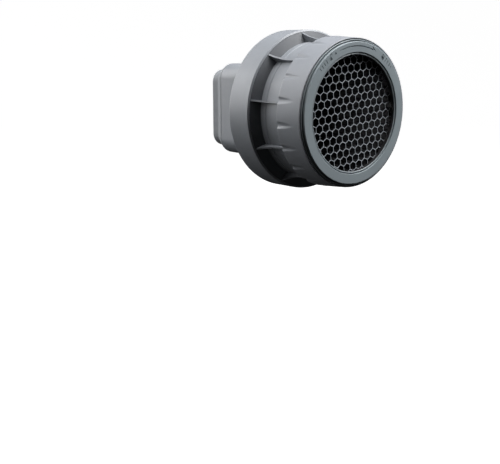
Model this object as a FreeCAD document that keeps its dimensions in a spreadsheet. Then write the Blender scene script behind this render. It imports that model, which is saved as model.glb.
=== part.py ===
import FreeCAD, Part
import math
import os
import re

import Sketcher
from FreeCAD import Placement, Rotation, Vector

# Honeycomb grid ring on its flash-head mount.
#
# Every piece is drawn with its own Z axis along the light: Z = 0 is the rear mouth of the
# socket that the flash head goes into, and Z grows towards the honeycomb face. TO_ROW turns
# that onto the part's frame: +X to the right as seen from the front, -Y forwards, +Z up.
# Angles run anticlockwise from +X as seen from the front.

TO_ROW = Placement(Vector(0, 0, 0), Rotation(Vector(1, 0, 0), 90))

FIN_COUNT = 10
SCALLOP_COUNT = 20
LUG_COUNT = 3
SCREW_COUNT = 5
RIB_COUNT = 8
SMALLEST_CELL = 1.5     # square millimetres: a cell that the rim cuts smaller stays solid
SMALLEST_CUT = 0.01     # cubic millimetres: a cut that removes less has missed its piece
PLANE_TOLERANCE = 0.01  # millimetres: an edge this close to a plane lies in it
WALL_MARGIN = 0.5       # millimetres past the cavity's wall that count as outside

DIMENSIONS = {
    # rubber boot and the flash head that it grips
    "head_width": 72.0,
    "head_height": 53.1,
    "boot_wall": 2.8,
    "boot_corner": 10.0,
    "boot_straight": 7.5,
    "boot_length": 16.0,
    "boot_edge": 1.2,
    "spigot_length": 6.0,
    "spigot_gap": 0.1,
    "pad_thickness": 1.4,
    "pad_base": 0.8,
    "pad_start": 3.0,
    "pad_length": 17.0,
    "pad_wide": 56.0,
    "pad_narrow": 38.0,
    "rib_width": 1.1,
    "rib_step": 2.2,
    # rear housing: rectangular tier, rear plate and drum
    "tier_width": 86.0,
    "tier_height": 71.2,
    "tier_corner": 12.0,
    "tier_wall": 2.8,
    "frame_thickness": 3.0,
    "shelf_thickness": 3.0,
    "frame_screw_side": 25.0,
    "frame_screw_up": 30.4,
    "drum_rear": 50.0,
    "drum_front": 72.4,
    "drum_rear_radius": 61.2,
    "drum_front_radius": 60.9,
    "drum_wall": 2.5,
    "plate_thickness": 3.0,
    "edge_break": 0.6,
    "hub_radius": 10.0,
    # black light tunnel
    "tunnel_radius": 48.8,
    "tunnel_wall": 2.4,
    "tunnel_front": 104.5,
    "flange_radius": 54.0,
    "flange_thickness": 2.5,
    "flange_circle": 51.4,
    "flange_bite": 2.2,
    "boss_radius": 3.0,
    "boss_circle": 45.6,
    "boss_length": 9.0,
    # neck and fins
    "neck_rear": 74.2,
    "neck_radius": 52.0,
    "wall_crest": 77.2,
    "wall_seat": 71.0,
    "wall_heel": 58.2,
    "rim_radius": 59.5,
    "rim_gap": 0.05,
    "neck_bore": 49.0,
    "neck_front": 110.0,
    "spigot_radius": 50.0,
    "band_rear": 80.8,
    "band_front": 83.2,
    "band_height": 0.35,
    "web_thickness": 2.0,
    "web_bore": 43.0,
    "fin_thickness": 1.3,
    "fin_root": 50.4,
    "fin_tip": 59.2,
    "fin_crest": 54.0,
    "fin_tangent": 95.0,
    "fin_gap": 0.4,
    "fin_heel": 1.1,
    "fin_angle": 26.4,
    # bayonet between the neck and the grid ring
    "groove_rear": 100.6,
    "groove_front": 103.0,
    "groove_radius": 50.1,
    "land_front": 104.2,
    "land_radius": 51.6,
    "lug_rear": 107.0,
    "lug_front": 109.6,
    "lug_radius": 51.8,
    "lug_root": 49.6,
    "lug_span": 16.0,
    "lug_gap": 2.0,
    "ledge_rear": 104.6,
    "ledge_front": 106.6,
    "ledge_radius": 50.4,
    "twist": 18.0,
    "stop_span": 4.0,
    "stop_gap": 1.0,
    "clip_inner": 50.2,
    "clip_outer": 51.9,
    "clip_rear": 100.8,
    "clip_front": 102.8,
    "clip_split": 8.0,
    "tab_turn": 60.0,
    "tab_span": 3.3,
    "tab_radius": 53.3,
    "slot_span": 3.8,
    "slot_radius": 53.6,
    "slot_front": 103.3,
    # grid ring
    "skirt_rear": 99.2,
    "skirt_radius": 55.8,
    "skirt_bevel": 0.5,
    "ring_front": 121.4,
    "ring_radius": 54.1,
    "ring_bore": 52.4,
    "ring_web_rear": 111.4,
    "ring_web_front": 113.4,
    "ring_web_bore": 46.6,
    "recess_rear": 119.0,
    "recess_radius": 53.5,
    "scallop_radius": 3.4,
    "scallop_depth": 1.15,
    "scallop_angle": 24.8,
    "scallop_front": 118.0,
    # face bezel, seam trim and lip
    "face_front": 123.5,
    "bezel_radius": 51.4,
    "bezel_bore": 43.9,
    "bezel_rear": 120.6,
    "bezel_foot": 114.8,
    "bezel_skirt": 50.7,
    "bezel_bevel": 0.5,
    "trim_inner": 52.1,
    "trim_outer": 52.8,
    "trim_foot_inner": 52.0,
    "trim_foot_outer": 53.4,
    "trim_foot_front": 119.9,
    "trim_front": 122.0,
    "lip_radius": 42.3,
    "lip_outer": 43.3,
    "lip_front": 122.9,
    "lip_rear": 119.4,
    "lip_flange_radius": 48.9,
    "lip_round": 0.35,
    # honeycomb core and what holds it
    "gasket_rear": 119.0,
    "gasket_inner": 43.5,
    "core_radius": 45.2,
    "core_rim": 0.9,
    "core_rear": 109.3,
    "core_front": 118.9,
    "cell_pitch": 6.35,
    "cell_wall": 0.55,
    "cell_row_angle": 6.7,
    "lattice_right": 1.86,
    "lattice_up": -0.29,
    "retainer_rear": 108.3,
    "retainer_shelf": 109.2,
    "retainer_front": 114.6,
    "retainer_bore": 43.6,
    "retainer_inner": 45.4,
    "retainer_outer": 46.3,
    "retainer_radius": 51.8,
    "retainer_circle": 48.5,
    "retainer_bite": 1.8,
    "seal_front": 110.8,
    "seal_edge": 0.1,
    # turning mark engraved in the face
    "mark_depth": 0.3,
    "mark_inner": 47.9,
    "mark_outer": 48.7,
    "mark_start": 103.0,
    "mark_end": 73.0,
    "arrow_sweep": 5.4,
    "arrow_half": 1.7,
    "arrow_overlap": 1.0,
    "pip_angle": 113.6,
    "pip_radius": 0.9,
    # self-tapping screws
    "shank_radius": 1.15,
    "shank_gap": 0.08,
    "screw_head": 2.1,
    "screw_height": 1.5,
    "frame_screw_length": 9.5,
    "collar_screw_length": 9.0,
    "cross_width": 0.6,
    "cross_length": 2.4,
    "cross_depth": 0.8,
    # how far a cut runs past the face that it starts from
    "cut_over": 1.0,
}

doc = FreeCAD.newDocument("honeycomb_grid")
sheet = doc.addObject("Spreadsheet::Sheet", "Dims")
for row, (alias, number) in enumerate(DIMENSIONS.items(), start=1):
    sheet.set(f"A{row}", alias)
    sheet.set(f"B{row}", str(number))
    sheet.setAlias(f"B{row}", alias)
doc.recompute()

pieces = []


# ---------------------------------------------------------------- helpers

def value(expression):
    """The number that an expression in the sheet's aliases has now."""
    return float(sheet.evalExpression(expression))


def bound(expression):
    """The same expression for another object, with each alias read from the sheet."""
    def cell(match):
        word = match.group(0)
        return f"Dims.{word}" if word in DIMENSIONS else word
    return re.sub(r"[a-z_]+", cell, expression)


def origin_of(body, role):
    return next(item for item in body.Origin.OriginFeatures if item.Role == role)


def new_body(label):
    body = doc.addObject("PartDesign::Body", label)
    body.Label = label
    pieces.append(body)
    return body


def new_sketch(body, name, plane, height=None, turned=None):
    """A sketch on one of the body's own planes, raised or turned about Z as asked."""
    sketch = body.newObject("Sketcher::SketchObject", name)
    sketch.AttachmentSupport = (origin_of(body, plane), [""])
    sketch.MapMode = "FlatFace"
    if height:
        sketch.setExpression("AttachmentOffset.Base.z", bound(height))
    if turned:
        about_z = Vector(0, 1, 0) if plane == "XZ_Plane" else Vector(0, 0, 1)
        sketch.AttachmentOffset = Placement(Vector(0, 0, 0), Rotation(about_z, value(turned)))
    return sketch


def fix_point(sketch, geometry, vertex, across, along):
    for kind, expression in (("DistanceX", across), ("DistanceY", along)):
        constraint = Sketcher.Constraint(kind, -1, 1, geometry, vertex, value(expression))
        index = sketch.addConstraint(constraint)
        sketch.setExpression(f"Constraints[{index}]", bound(expression))


def draw_outline(sketch, corners):
    """A closed outline of straight sides whose corners are all bound to the sheet."""
    points = [Vector(value(across), value(along), 0) for across, along in corners]
    for start, end in zip(points, points[1:] + points[:1]):
        sketch.addGeometry(Part.LineSegment(start, end), False)
    for side, (across, along) in enumerate(corners):
        before = (side - 1) % len(corners)
        sketch.addConstraint(Sketcher.Constraint("Coincident", before, 2, side, 1))
        fix_point(sketch, side, 1, across, along)


def draw_circle(sketch, across, along, radius):
    centre = Vector(value(across), value(along), 0)
    circle = sketch.addGeometry(Part.Circle(centre, Vector(0, 0, 1), value(radius)), False)
    fix_point(sketch, circle, 3, across, along)
    index = sketch.addConstraint(Sketcher.Constraint("Radius", circle, value(radius)))
    sketch.setExpression(f"Constraints[{index}]", bound(radius))


def draw_rounded_rectangle(sketch, width, height, corner):
    """Four sides and four quarter arcs about the axis, bound by width, height and corner."""
    half_w, half_h, radius = value(width) / 2, value(height) / 2, value(corner)
    in_w, in_h = half_w - radius, half_h - radius
    ends = (
        ((in_w, half_h), (-in_w, half_h)),
        ((-half_w, in_h), (-half_w, -in_h)),
        ((-in_w, -half_h), (in_w, -half_h)),
        ((half_w, -in_h), (half_w, in_h)),
    )
    centres = ((-in_w, in_h), (-in_w, -in_h), (in_w, -in_h), (in_w, in_h))
    for start, end in ends:
        sketch.addGeometry(Part.LineSegment(Vector(*start, 0), Vector(*end, 0)), False)
    for turn, centre in enumerate(centres, start=1):
        circle = Part.Circle(Vector(*centre, 0), Vector(0, 0, 1), radius)
        arc = Part.ArcOfCircle(circle, turn * math.pi / 2, (turn + 1) * math.pi / 2)
        sketch.addGeometry(arc, False)
    for side in range(4):
        arc, following = side + 4, (side + 1) % 4
        sketch.addConstraint(Sketcher.Constraint("Tangent", side, 2, arc, 1))
        sketch.addConstraint(Sketcher.Constraint("Tangent", arc, 2, following, 1))
        if side:
            sketch.addConstraint(Sketcher.Constraint("Equal", 4, arc))
    for side, kind in enumerate(("Horizontal", "Vertical", "Horizontal", "Vertical")):
        sketch.addConstraint(Sketcher.Constraint(kind, side))
    places = (
        ("DistanceY", -1, 1, 0, 1, f"({height}) / 2"),
        ("DistanceX", 1, 1, -1, 1, f"({width}) / 2"),
        ("DistanceY", 2, 1, -1, 1, f"({height}) / 2"),
        ("DistanceX", -1, 1, 3, 1, f"({width}) / 2"),
    )
    for kind, first, first_end, second, second_end, expression in places:
        index = sketch.addConstraint(
            Sketcher.Constraint(kind, first, first_end, second, second_end, value(expression)))
        sketch.setExpression(f"Constraints[{index}]", bound(expression))
    index = sketch.addConstraint(Sketcher.Constraint("Radius", 4, radius))
    sketch.setExpression(f"Constraints[{index}]", bound(corner))


def revolve(body, name, corners, cut=False, sweep=None, turned=None):
    """Turn a section of (radius, height) corners about Z, all round or through a sweep
    that is centred on the sketch's plane."""
    sketch = new_sketch(body, f"{name}_section", "XZ_Plane", turned=turned)
    draw_outline(sketch, corners)
    kind = "PartDesign::Groove" if cut else "PartDesign::Revolution"
    feature = body.newObject(kind, name)
    feature.Profile = sketch
    feature.ReferenceAxis = (sketch, ["V_Axis"])
    if sweep:
        feature.Midplane = True
        feature.setExpression("Angle", bound(sweep))
    else:
        feature.Angle = 360
    body.Tip = feature
    return feature


def extrude(body, name, sketch, length, cut=False, backwards=False):
    """Pad or pocket a sketch towards the front, or towards the rear if backwards."""
    feature = body.newObject("PartDesign::Pocket" if cut else "PartDesign::Pad", name)
    feature.Profile = sketch
    feature.Type = 0
    feature.setExpression("Length", bound(length))
    feature.Reversed = cut != backwards
    body.Tip = feature
    return feature


def repeat_round(body, feature, count):
    pattern = body.newObject("PartDesign::PolarPattern", f"{feature.Name}_round")
    pattern.Originals = [feature]
    pattern.Axis = (origin_of(body, "Z_Axis"), [""])
    pattern.Angle = 360
    pattern.Occurrences = count
    body.Tip = pattern
    return pattern


def drill(body, name, across, along, front, length, count=1):
    """Clearance holes for the screw shanks, from the front plane towards the rear."""
    sketch = new_sketch(body, f"{name}_place", "XY_Plane", height=front)
    draw_circle(sketch, across, along, "shank_radius + shank_gap")
    hole = extrude(body, name, sketch, length, cut=True, backwards=True)
    return repeat_round(body, hole, count) if count > 1 else hole


def section_plate(body, name, start, length, width, height, corner, cut=False):
    """A rounded rectangle extruded forwards from the start plane."""
    sketch = new_sketch(body, f"{name}_outline", "XY_Plane", height=start)
    draw_rounded_rectangle(sketch, width, height, corner)
    extrude(body, name, sketch, length, cut=cut)
    return sketch


def around(count, circle, turned=0.0):
    """Places of a ring of screws."""
    angles = [math.radians(turned + 360.0 * k / count) for k in range(count)]
    return [(circle * math.cos(angle), circle * math.sin(angle)) for angle in angles]


def make_screws(label, places, seat, length):
    """Pan-head screws with a cross recess, heads forwards, seated at one height."""
    head_height, head_radius = value("screw_height"), value("screw_head")
    head = Part.makeCylinder(head_radius, head_height, Vector(0, 0, 0))
    head = head.makeFillet(head_height / 2, [head.Edges[0]])
    shank = Part.makeCylinder(value("shank_radius"), length, Vector(0, 0, -length))
    screw = head.fuse(shank).removeSplitter()
    for long_x in (True, False):
        wide = value("cross_length") if long_x else value("cross_width")
        deep = value("cross_width") if long_x else value("cross_length")
        corner = Vector(-wide / 2, -deep / 2, head_height - value("cross_depth"))
        screw = screw.cut(Part.makeBox(wide, deep, head_height, corner))
    group = [screw.translated(Vector(across, along, seat)) for across, along in places]
    feature = doc.addObject("Part::Feature", label)
    feature.Label = label
    feature.Shape = Part.makeCompound(group)
    pieces.append(feature)
    return feature


CAVITY = ("head_width + 2 * pad_thickness", "head_height + 2 * pad_thickness",
          "boot_corner - boot_wall")
BOOT = ("head_width + 2 * pad_thickness + 2 * boot_wall",
        "head_height + 2 * pad_thickness + 2 * boot_wall", "boot_corner")
TIER = ("tier_width", "tier_height", "tier_corner")
TIER_INSIDE = ("tier_width - 2 * tier_wall", "tier_height - 2 * tier_wall",
               "tier_corner - tier_wall")
TIER_INSERT = ("tier_width - 2 * tier_wall - 2 * spigot_gap",
               "tier_height - 2 * tier_wall - 2 * spigot_gap",
               "tier_corner - tier_wall - spigot_gap")
FRAME_SCREWS = [(sign_x, sign_y) for sign_x in (1, -1) for sign_y in (1, -1)]


# ---------------------------------------------------------------- socket end

def drill_frame_holes(body, front, length):
    for number, (sign_x, sign_y) in enumerate(FRAME_SCREWS, start=1):
        drill(body, f"frame_hole_{number}", f"{sign_x} * frame_screw_side",
              f"{sign_y} * frame_screw_up", front, length)


def make_boot():
    """Soft rubber boot: straight over the flash head, then sloping out to the tier."""
    body = new_body("boot_sleeve")
    section_plate(body, "boot_tube", "0", "boot_straight", *BOOT)
    near = new_sketch(body, "slope_near", "XY_Plane", height="boot_straight")
    draw_rounded_rectangle(near, *BOOT)
    far = new_sketch(body, "slope_far", "XY_Plane", height="boot_length")
    draw_rounded_rectangle(far, *TIER)
    slope = body.newObject("PartDesign::AdditiveLoft", "boot_slope")
    slope.Profile = near
    slope.Sections = [far]
    slope.Ruled = True
    section_plate(body, "boot_spigot", "boot_length", "spigot_length", *TIER_INSERT)
    section_plate(body, "boot_cavity", "0", "boot_length + spigot_length", *CAVITY, cut=True)
    drill_frame_holes(body, "boot_length + spigot_length",
                      "frame_screw_length - shelf_thickness - frame_thickness + shank_gap")
    doc.recompute()
    unsoftened = body.Tip
    rim = [f"Edge{k}" for k, edge in enumerate(unsoftened.Shape.Edges, start=1)
           if edge.BoundBox.ZMax < PLANE_TOLERANCE and outside_cavity(edge)]
    soften = body.newObject("PartDesign::Fillet", "boot_mouth_edge")
    soften.Base = (unsoftened, rim)
    soften.setExpression("Radius", bound("boot_edge"))
    body.Tip = soften
    return body


def outside_cavity(edge):
    """True for an edge that lies further out than the cavity's wall."""
    middle = edge.valueAt((edge.FirstParameter + edge.LastParameter) / 2)
    half_w, half_h, corner = (value(text) for text in CAVITY)
    over_x = max(abs(middle.x) - (half_w / 2 - corner), 0)
    over_y = max(abs(middle.y) - (half_h / 2 - corner), 0)
    return math.hypot(over_x, over_y) > corner + WALL_MARGIN


def make_grip_pad(label, breadth, wall, quarter_turns):
    """Ribbed friction pad: a thin base on the boot's wall with ribs across the pull."""
    body = new_body(label)
    turned = str(90 * quarter_turns)
    base = new_sketch(body, f"{label}_base_outline", "XY_Plane", height="pad_start", turned=turned)
    outer, inner = f"{wall}", f"{wall} - pad_base"
    draw_outline(base, [(outer, f"-{breadth} / 2"), (outer, f"{breadth} / 2"),
                        (inner, f"{breadth} / 2"), (inner, f"-{breadth} / 2")])
    extrude(body, f"{label}_base", base, "pad_length")
    rib = new_sketch(body, f"{label}_rib_outline", "XY_Plane", height="pad_start", turned=turned)
    crest = f"{wall} - pad_thickness"
    draw_outline(rib, [(inner, f"-{breadth} / 2"), (inner, f"{breadth} / 2"),
                       (crest, f"{breadth} / 2"), (crest, f"-{breadth} / 2")])
    ribs = extrude(body, f"{label}_rib", rib, "rib_width")
    row = body.newObject("PartDesign::LinearPattern", f"{label}_ribs")
    row.Originals = [ribs]
    row.Direction = (origin_of(body, "Z_Axis"), [""])
    row.Occurrences = RIB_COUNT
    row.setExpression("Length", bound(f"rib_step * {RIB_COUNT - 1}"))
    body.Tip = row
    return body


def make_boot_frame():
    """Stiff frame behind the boot's spigot, which the frame screws thread into."""
    body = new_body("boot_frame")
    start = "boot_length + spigot_length"
    section_plate(body, "frame_plate", start, "frame_thickness", *TIER_INSERT)
    section_plate(body, "frame_opening", start, "frame_thickness", *CAVITY, cut=True)
    drill_frame_holes(body, f"{start} + frame_thickness", "frame_thickness")
    return body


# ---------------------------------------------------------------- housing

def wall_height_at(radius):
    """Height of the cone that closes the drum's front, which rises towards the neck."""
    return (f"drum_front + (drum_front_radius - ({radius})) * (wall_crest - drum_front)"
            f" / (drum_front_radius - neck_radius)")


def make_drum_shell():
    """Rear housing: rectangular tier, shelf for the boot frame, rear plate and drum wall."""
    body = new_body("drum_shell")
    revolve(body, "drum", [
        ("hub_radius", "drum_rear"),
        ("drum_rear_radius - edge_break", "drum_rear"),
        ("drum_rear_radius", "drum_rear + edge_break"),
        ("drum_front_radius", "drum_front - edge_break / 2"),
        ("drum_front_radius - edge_break / 2",
         wall_height_at("drum_front_radius - edge_break / 2")),
        ("rim_radius", wall_height_at("rim_radius")),
        ("rim_radius", "wall_seat"),
        ("drum_front_radius - drum_wall", "wall_seat"),
        ("drum_rear_radius - drum_wall", "drum_rear + plate_thickness"),
        ("hub_radius", "drum_rear + plate_thickness"),
    ])
    section_plate(body, "tier", "boot_length", "drum_rear - boot_length + edge_break", *TIER)
    shelf = "boot_length + spigot_length + frame_thickness"
    section_plate(body, "tier_socket", "boot_length", "spigot_length + frame_thickness",
                  *TIER_INSIDE, cut=True)
    section_plate(body, "tier_chamber", f"{shelf} + shelf_thickness",
                  f"drum_rear + plate_thickness - {shelf.replace('+', '-')} - shelf_thickness",
                  *TIER_INSIDE, cut=True)
    section_plate(body, "shelf_opening", shelf, "shelf_thickness", *CAVITY, cut=True)
    drill_frame_holes(body, f"{shelf} + shelf_thickness", "shelf_thickness")
    drill(body, "flange_hole", "flange_circle", "0", "drum_rear + plate_thickness",
          "flange_bite + shank_gap", SCREW_COUNT)
    return body


def make_light_tunnel():
    """Black tube that carries the light from the housing to the grid."""
    body = new_body("light_tunnel")
    rear = "drum_rear + plate_thickness"
    bore = "tunnel_radius - tunnel_wall"
    revolve(body, "tunnel_tube", [
        (bore, rear),
        ("flange_radius", rear),
        ("flange_radius", f"{rear} + flange_thickness"),
        ("tunnel_radius", f"{rear} + flange_thickness"),
        ("tunnel_radius", "tunnel_front"),
        (bore, "tunnel_front"),
    ])
    place = new_sketch(body, "boss_place", "XY_Plane", height="tunnel_front")
    draw_circle(place, "boss_circle", "0", "boss_radius")
    boss = extrude(body, "boss", place, "boss_length", backwards=True)
    repeat_round(body, boss, SCREW_COUNT)
    drill(body, "boss_hole", "boss_circle", "0", "tunnel_front",
          "collar_screw_length - web_thickness + shank_gap", SCREW_COUNT)
    drill(body, "flange_hole", "flange_circle", "0", f"{rear} + flange_thickness",
          "flange_thickness", SCREW_COUNT)
    return body


def make_fin_collar():
    """Neck with its bayonet lugs, on a cone that closes the drum and carries thin fins."""
    body = new_body("fin_collar")
    rim = "rim_radius - rim_gap"
    revolve(body, "neck", [
        ("neck_bore", "neck_rear"),
        ("neck_radius", "neck_rear"),
        ("wall_heel", "wall_seat"),
        (rim, "wall_seat"),
        (rim, wall_height_at(rim)),
        ("neck_radius", "wall_crest"),
        ("neck_radius", "band_rear"),
        ("neck_radius + band_height", "band_rear + band_height"),
        ("neck_radius + band_height", "band_front - band_height"),
        ("neck_radius", "band_front"),
        ("neck_radius", "groove_rear"),
        ("groove_radius", "groove_rear"),
        ("groove_radius", "groove_front"),
        ("land_radius", "groove_front"),
        ("land_radius", "land_front"),
        ("spigot_radius", "land_front"),
        ("spigot_radius", "neck_front"),
        ("neck_bore", "neck_front"),
        ("neck_bore", "tunnel_front + web_thickness"),
        ("web_bore", "tunnel_front + web_thickness"),
        ("web_bore", "tunnel_front"),
        ("neck_bore", "tunnel_front"),
    ])
    lug = revolve(body, "lug", [
        ("lug_root", "lug_rear"),
        ("lug_radius", "lug_rear"),
        ("lug_radius", "lug_front"),
        ("lug_root", "lug_front"),
    ], sweep="lug_span")
    repeat_round(body, lug, LUG_COUNT)
    make_fins(body)
    drill(body, "web_hole", "boss_circle", "0", "tunnel_front + web_thickness",
          "web_thickness", SCREW_COUNT)
    return body


def make_fins(body):
    """One fin, whose crest is an arc that runs out tangent along the neck, then the rest."""
    sketch = new_sketch(body, "fin_outline", "XZ_Plane", turned="fin_angle")
    corners = [
        ("fin_crest", "fin_tangent"),
        ("fin_crest", "skirt_rear - fin_gap"),
        ("fin_root", "skirt_rear - fin_gap"),
        ("fin_root", "wall_crest - fin_heel"),
        ("fin_tip", wall_height_at("fin_tip") + " - fin_heel"),
        ("fin_tip", wall_height_at("fin_tip")),
    ]
    points = [Vector(value(across), value(along), 0) for across, along in corners]
    for start, end in zip(points, points[1:]):
        sketch.addGeometry(Part.LineSegment(start, end), False)
    run_out, tip = points[0], points[-1]
    offset = tip - run_out
    radius = offset.Length ** 2 / (2 * offset.x)
    centre = run_out + Vector(radius, 0, 0)
    to_tip = tip - centre
    tip_angle = math.atan2(to_tip.y, to_tip.x) % (2 * math.pi)
    circle = Part.Circle(centre, Vector(0, 0, 1), radius)
    arc = sketch.addGeometry(Part.ArcOfCircle(circle, math.pi, tip_angle), False)
    last = len(corners) - 2
    for side in range(last):
        sketch.addConstraint(Sketcher.Constraint("Coincident", side, 2, side + 1, 1))
    sketch.addConstraint(Sketcher.Constraint("Coincident", last, 2, arc, 2))
    sketch.addConstraint(Sketcher.Constraint("Tangent", arc, 1, 0, 1))
    for side, (across, along) in enumerate(corners[:-1]):
        fix_point(sketch, side, 1, across, along)
    fix_point(sketch, last, 2, *corners[-1])
    fin = body.newObject("PartDesign::Pad", "fin")
    fin.Profile = sketch
    fin.Midplane = True
    fin.setExpression("Length", bound("fin_thickness"))
    body.Tip = fin
    repeat_round(body, fin, FIN_COUNT)


def make_lock_ring():
    """Split spring ring in the neck's groove; its tabs key into slots in the grid ring."""
    body = new_body("lock_ring")
    revolve(body, "clip", [
        ("clip_inner", "clip_rear"),
        ("clip_outer", "clip_rear"),
        ("clip_outer", "clip_front"),
        ("clip_inner", "clip_front"),
    ], sweep="360 - clip_split", turned="180")
    tab = revolve(body, "tab", [
        ("clip_inner + spigot_gap", "clip_rear"),
        ("tab_radius", "clip_rear"),
        ("tab_radius", "clip_front"),
        ("clip_inner + spigot_gap", "clip_front"),
    ], sweep="tab_span", turned="tab_turn")
    repeat_round(body, tab, LUG_COUNT)
    return body


def make_front_seal():
    """Felt ring on the neck's front edge, which stops light between neck and grid ring."""
    body = new_body("front_seal")
    revolve(body, "seal", [
        ("neck_bore + seal_edge", "neck_front"),
        ("spigot_radius - seal_edge", "neck_front"),
        ("spigot_radius - seal_edge", "seal_front"),
        ("neck_bore + seal_edge", "seal_front"),
    ])
    return body


# ---------------------------------------------------------------- grid ring

def make_grid_shell():
    """Outer ring of the grid: tapered skirt with finger scallops, bayonet ledges, web."""
    body = new_body("grid_shell")
    revolve(body, "shell", [
        ("ring_bore + skirt_bevel", "skirt_rear"),
        ("skirt_radius - skirt_bevel", "skirt_rear"),
        ("skirt_radius", "skirt_rear + skirt_bevel"),
        ("ring_radius", "ring_front - skirt_bevel / 2"),
        ("ring_radius - skirt_bevel / 2", "ring_front"),
        ("recess_radius", "ring_front"),
        ("recess_radius", "recess_rear"),
        ("ring_bore", "recess_rear"),
        ("ring_bore", "ring_web_front"),
        ("ring_web_bore", "ring_web_front"),
        ("ring_web_bore", "ring_web_rear"),
        ("ring_bore", "ring_web_rear"),
        ("ring_bore", "ledge_front"),
        ("ledge_radius", "ledge_front"),
        ("ledge_radius", "ledge_rear"),
        ("ring_bore", "ledge_rear"),
        ("ring_bore", "skirt_rear + skirt_bevel"),
    ])
    gate = revolve(body, "ledge_gate", [
        ("ledge_radius - spigot_gap", "ledge_rear - spigot_gap"),
        ("ring_bore", "ledge_rear - spigot_gap"),
        ("ring_bore", "ledge_front + spigot_gap"),
        ("ledge_radius - spigot_gap", "ledge_front + spigot_gap"),
    ], cut=True, sweep="lug_span + 2 * lug_gap")
    repeat_round(body, gate, LUG_COUNT)
    stop_section = [
        ("ledge_radius", "ledge_front - spigot_gap"),
        ("ring_bore + spigot_gap", "ledge_front - spigot_gap"),
        ("ring_bore + spigot_gap", "lug_front"),
        ("ledge_radius", "lug_front"),
    ]
    closed = revolve(body, "closed_stop", stop_section, sweep="stop_span",
                     turned="lug_span / 2 + twist + stop_gap + stop_span / 2")
    repeat_round(body, closed, LUG_COUNT)
    opened = revolve(body, "open_stop", stop_section, sweep="stop_span",
                     turned="-(lug_span / 2 + lug_gap + stop_span / 2)")
    repeat_round(body, opened, LUG_COUNT)
    slot = revolve(body, "tab_slot", [
        ("ring_bore - spigot_gap", "skirt_rear - spigot_gap"),
        ("slot_radius", "skirt_rear - spigot_gap"),
        ("slot_radius", "slot_front"),
        ("ring_bore - spigot_gap", "slot_front"),
    ], cut=True, sweep="slot_span", turned="tab_turn")
    repeat_round(body, slot, LUG_COUNT)
    centre = "skirt_radius - scallop_depth + scallop_radius"
    place = new_sketch(body, "scallop_place", "XY_Plane", height="skirt_rear - cut_over")
    draw_circle(place, f"({centre}) * cos(scallop_angle)", f"({centre}) * sin(scallop_angle)",
                "scallop_radius")
    scallop = extrude(body, "scallop", place, "scallop_front - skirt_rear + cut_over", cut=True)
    repeat_round(body, scallop, SCALLOP_COUNT)
    drill(body, "retainer_hole", "retainer_circle", "0", "ring_web_front",
          "ring_web_front - ring_web_rear", SCREW_COUNT)
    return body


def make_trim_ring():
    """Thin rib that shows in the seam between the outer ring and the face."""
    body = new_body("trim_ring")
    revolve(body, "trim", [
        ("trim_foot_inner", "recess_rear"),
        ("trim_foot_outer", "recess_rear"),
        ("trim_foot_outer", "trim_foot_front"),
        ("trim_outer", "trim_foot_front"),
        ("trim_outer", "trim_front"),
        ("trim_inner", "trim_front"),
        ("trim_inner", "trim_foot_front"),
        ("trim_foot_inner", "trim_foot_front"),
    ])
    return body


def make_face_bezel():
    """Flat front face with the engraved turning arrow, on a skirt that snaps into the ring."""
    body = new_body("face_bezel")
    revolve(body, "bezel", [
        ("bezel_bore", "bezel_rear"),
        ("bezel_skirt", "bezel_rear"),
        ("bezel_skirt", "bezel_foot"),
        ("bezel_radius", "bezel_foot"),
        ("bezel_radius", "face_front - bezel_bevel"),
        ("bezel_radius - bezel_bevel", "face_front"),
        ("bezel_bore + bezel_bevel / 2", "face_front"),
        ("bezel_bore", "face_front - bezel_bevel / 2"),
    ])
    revolve(body, "turning_arc", [
        ("mark_inner", "face_front - mark_depth"),
        ("mark_outer", "face_front - mark_depth"),
        ("mark_outer", "face_front + cut_over"),
        ("mark_inner", "face_front + cut_over"),
    ], cut=True, sweep="mark_start - mark_end", turned="(mark_start + mark_end) / 2")
    middle = "(mark_inner + mark_outer) / 2"
    foot = "mark_end + arrow_overlap"
    arrow = new_sketch(body, "arrow_outline", "XY_Plane", height="face_front")
    draw_outline(arrow, [
        (f"({middle} + arrow_half) * cos({foot})", f"({middle} + arrow_half) * sin({foot})"),
        (f"({middle} - arrow_half) * cos({foot})", f"({middle} - arrow_half) * sin({foot})"),
        (f"({middle}) * cos(mark_end - arrow_sweep)", f"({middle}) * sin(mark_end - arrow_sweep)"),
    ])
    extrude(body, "arrow_head", arrow, "mark_depth", cut=True, backwards=True)
    pip = new_sketch(body, "pip_outline", "XY_Plane", height="face_front")
    draw_circle(pip, f"({middle}) * cos(pip_angle)", f"({middle}) * sin(pip_angle)", "pip_radius")
    extrude(body, "pip", pip, "mark_depth", cut=True, backwards=True)
    return body


def make_lip_ring():
    """Bead round the aperture, with a flange that is clamped behind the face."""
    body = new_body("lip_ring")
    revolve(body, "lip", [
        ("lip_radius", "lip_rear"),
        ("lip_flange_radius", "lip_rear"),
        ("lip_flange_radius", "bezel_rear"),
        ("lip_outer", "bezel_rear"),
        ("lip_outer", "lip_front - lip_round"),
        ("lip_outer - lip_round", "lip_front"),
        ("lip_radius + lip_round", "lip_front"),
        ("lip_radius", "lip_front - lip_round"),
    ])
    return body


def make_core_gasket():
    body = new_body("core_gasket")
    revolve(body, "gasket", [
        ("gasket_inner", "gasket_rear"),
        ("core_radius", "gasket_rear"),
        ("core_radius", "lip_rear"),
        ("gasket_inner", "lip_rear"),
    ])
    return body


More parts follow.
